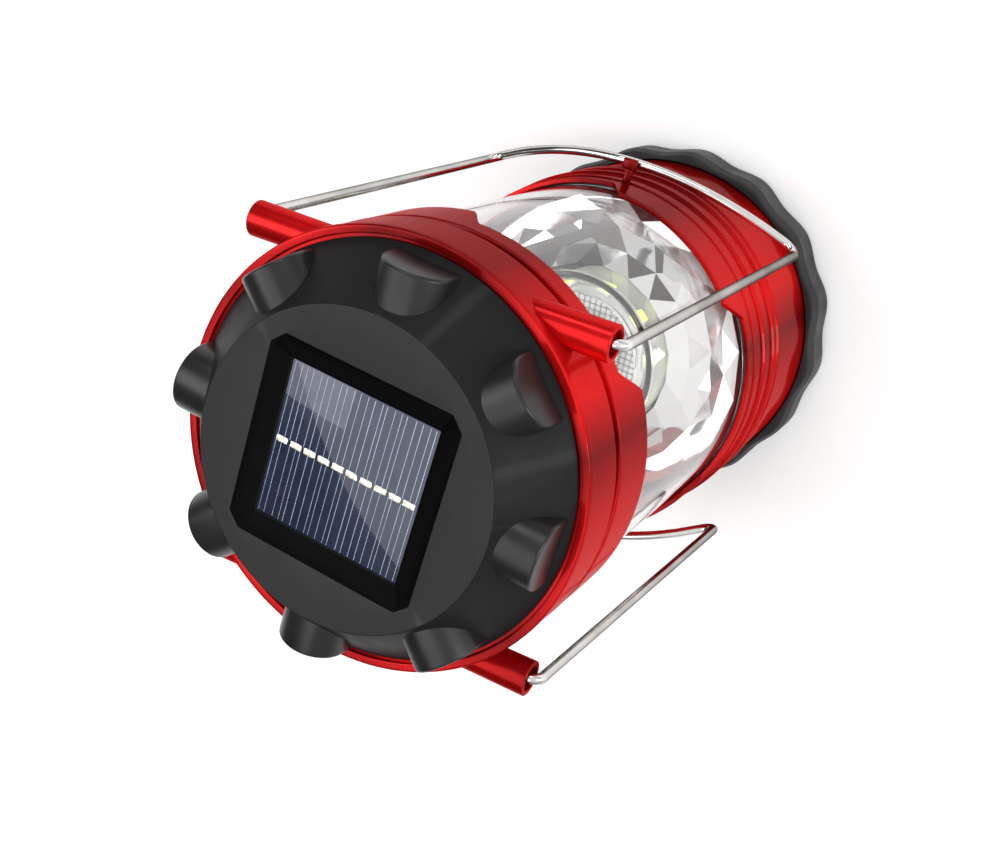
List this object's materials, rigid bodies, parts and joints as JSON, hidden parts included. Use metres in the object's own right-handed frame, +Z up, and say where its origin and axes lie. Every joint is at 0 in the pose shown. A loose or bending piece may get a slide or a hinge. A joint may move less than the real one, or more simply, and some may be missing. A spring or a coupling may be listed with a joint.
{
  "type": "solar camping lantern",
  "caption": "Collapsible solar lantern: black cap with a solar cell, red shells, clear telescoping lens over a lamp drum, folding wire bails and a torch in the foot.",
  "frame": {"origin": "centre of the foot ring's flat underside, on the surface that the lantern stands on", "axes": "+Z up along the lantern's axis; X along the bail tubes; the rear bail is on the +Y side"},
  "size_m": [0.0938, 0.0988, 0.174],
  "materials": {
    "red_shell": "candy red metallic lacquer on plastic",
    "black_shell": "satin moulded black",
    "black_plastic": "plain moulded black",
    "white_plastic": "plain moulded white",
    "black_rubber": "matte black rubber",
    "chrome_wire": "polished nickel-chrome plate",
    "plated_reflector": "vacuum-plated, mirror bright",
    "clear_lens": "clear polystyrene",
    "solar_silicon": "blue silicon under clear resin",
    "white_board": "white solder mask",
    "green_board": "green solder mask",
    "plated_steel": "zinc plated",
    "rail_metal": "drawn strip",
    "led_phosphor": "yellow phosphor resin",
    "battery_wrap": "shrink film",
    "wire_red": "insulation",
    "wire_black": "insulation"
  },
  "bodies": {
    "base": {"base_housing": "red_shell", "rubber_ring": "black_rubber", "core_frame": "black_plastic", "lower_reflector": "plated_reflector", "lamp_cover": "clear_lens", "led_board": "white_board", "led_post": "white_plastic", "led_ring": "led_phosphor", "battery_cell": "battery_wrap", "battery_holder": "black_plastic", "battery_spring": "plated_steel", "control_board": "green_board", "control_chip": "black_plastic", "reservoir_capacitor": "black_plastic", "torch_bezel": "black_plastic", "torch_lens": "clear_lens", "torch_reflector": "plated_reflector", "torch_board": "white_board", "torch_led": "led_phosphor", "bottom_cover": "black_plastic", "bottom_screw_1": "plated_steel", "bottom_screw_2": "plated_steel", "bottom_screw_3": "plated_steel", "bottom_screw_4": "plated_steel", "charge_socket": "plated_steel", "tact_switch": "black_plastic"},
    "lens": {"lens_tube": "clear_lens", "friction_ring": "black_rubber", "guide_rail_1": "rail_metal", "guide_rail_2": "rail_metal", "guide_rail_3": "rail_metal"},
    "head": {"upper_housing": "red_shell", "solar_cap": "black_shell", "solar_cell": "solar_silicon", "cell_wire_pos": "wire_red", "cell_wire_neg": "wire_black", "head_tray": "white_plastic", "charge_board": "green_board", "charge_diode": "wire_black", "upper_reflector": "plated_reflector", "cap_screw_1": "plated_steel", "cap_screw_2": "plated_steel", "cap_screw_3": "plated_steel", "cap_screw_4": "plated_steel"},
    "bail_rear": {"rear_bail": "chrome_wire"},
    "bail_front": {"front_bail": "chrome_wire"},
    "button": {"power_button": "black_rubber"}
  },
  "joints": [
    {"name": "lens_slide", "type": "slide", "parent": "base", "child": "lens", "axis": [0, 0, 1], "range_m": [-0.053, 0]},
    {"name": "head_slide", "type": "slide", "parent": "lens", "child": "head", "axis": [0, 0, 1], "range_m": [-0.0154, 0]},
    {"name": "rear_bail_hinge", "type": "hinge", "parent": "head", "child": "bail_rear", "pos_m": [0, 0.0346, 0.1548], "axis": [1, 0, 0], "range_deg": [0, 190]},
    {"name": "front_bail_hinge", "type": "hinge", "parent": "head", "child": "bail_front", "pos_m": [0, -0.0346, 0.1548], "axis": [-1, 0, 0], "range_deg": [0, 190]},
    {"name": "power_button_press", "type": "slide", "parent": "base", "child": "button", "axis": [0, 0, 1], "range_m": [0, 0.0012], "stiffness_N_per_m": 400, "springref_m": -0.001}
  ]
}
